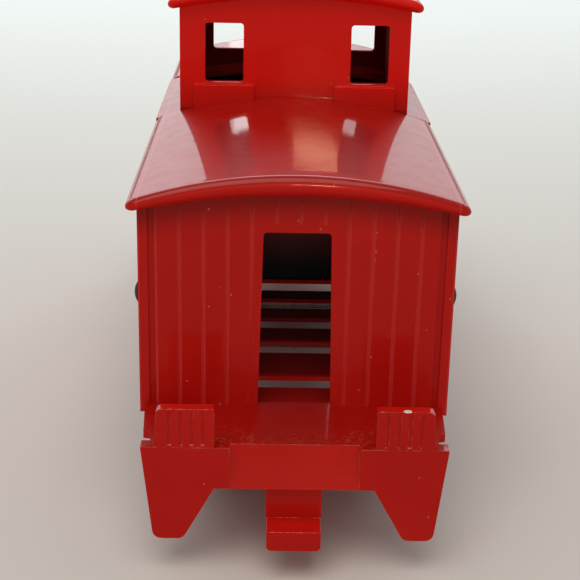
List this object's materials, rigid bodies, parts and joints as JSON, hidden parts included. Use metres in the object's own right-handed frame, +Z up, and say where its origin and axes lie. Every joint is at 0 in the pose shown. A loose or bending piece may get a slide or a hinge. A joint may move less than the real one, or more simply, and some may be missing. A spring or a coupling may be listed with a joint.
{
  "type": "model caboose",
  "caption": "Small-scale model railway caboose with a boarded cabin, open-windowed cupola, end platforms with ribbed rails and stepped beams, and swivelling trucks.",
  "frame": {"origin": "middle of the car, on the track under the wheel flanges", "axes": "+Y along the car from the front end to the rear end, +X to the car's right, +Z up"},
  "size_m": [0.0342, 0.1062, 0.0526],
  "materials": {
    "red_enamel": "glossy bright red enamel with fine dust in it",
    "brown_wire": "dark brown bare wire, dull",
    "plated_steel": "plain zinc plated steel",
    "black_frame": "satin black paint",
    "wheel_steel": "turned steel with dark sides"
  },
  "bodies": {
    "car_body": {"left_side_wall": "red_enamel", "right_side_wall": "red_enamel", "front_end_wall": "red_enamel", "rear_end_wall": "red_enamel", "front_roof": "red_enamel", "rear_roof": "red_enamel", "cupola_body": "red_enamel", "cupola_roof": "red_enamel", "grab_irons": "brown_wire", "underframe": "red_enamel", "base_screws": "plated_steel", "front_end_beam": "red_enamel", "rear_end_beam": "red_enamel", "end_beam_rivets": "plated_steel", "front_left_rail": "red_enamel", "front_right_rail": "red_enamel", "rear_left_rail": "red_enamel", "rear_right_rail": "red_enamel", "front_kingpin": "plated_steel", "rear_kingpin": "plated_steel"},
    "front_truck": {"front_truck_bolster": "black_frame", "front_truck_left_frame": "black_frame", "front_truck_right_frame": "black_frame"},
    "front_outer_wheelset": {"front_outer_axle": "plated_steel", "front_outer_left_wheel": "wheel_steel", "front_outer_right_wheel": "wheel_steel"},
    "front_inner_wheelset": {"front_inner_axle": "plated_steel", "front_inner_left_wheel": "wheel_steel", "front_inner_right_wheel": "wheel_steel"},
    "rear_truck": {"rear_truck_bolster": "black_frame", "rear_truck_left_frame": "black_frame", "rear_truck_right_frame": "black_frame"},
    "rear_outer_wheelset": {"rear_outer_axle": "plated_steel", "rear_outer_left_wheel": "wheel_steel", "rear_outer_right_wheel": "wheel_steel"},
    "rear_inner_wheelset": {"rear_inner_axle": "plated_steel", "rear_inner_left_wheel": "wheel_steel", "rear_inner_right_wheel": "wheel_steel"}
  },
  "joints": [
    {"name": "front_truck_swivel", "type": "hinge", "parent": "car_body", "child": "front_truck", "pos_m": [0, -0.02025, 0.0123], "axis": [0, 0, 1], "range_deg": [-12, 12]},
    {"name": "front_outer_axle_spin", "type": "hinge", "parent": "front_truck", "child": "front_outer_wheelset", "pos_m": [0, -0.02925, 0.0057], "axis": [1, 0, 0], "continuous": true},
    {"name": "front_inner_axle_spin", "type": "hinge", "parent": "front_truck", "child": "front_inner_wheelset", "pos_m": [0, -0.01125, 0.0057], "axis": [1, 0, 0], "continuous": true},
    {"name": "rear_truck_swivel", "type": "hinge", "parent": "car_body", "child": "rear_truck", "pos_m": [0, 0.02025, 0.0123], "axis": [0, 0, 1], "range_deg": [-12, 12]},
    {"name": "rear_outer_axle_spin", "type": "hinge", "parent": "rear_truck", "child": "rear_outer_wheelset", "pos_m": [0, 0.02925, 0.0057], "axis": [1, 0, 0], "continuous": true},
    {"name": "rear_inner_axle_spin", "type": "hinge", "parent": "rear_truck", "child": "rear_inner_wheelset", "pos_m": [0, 0.01125, 0.0057], "axis": [1, 0, 0], "continuous": true}
  ]
}
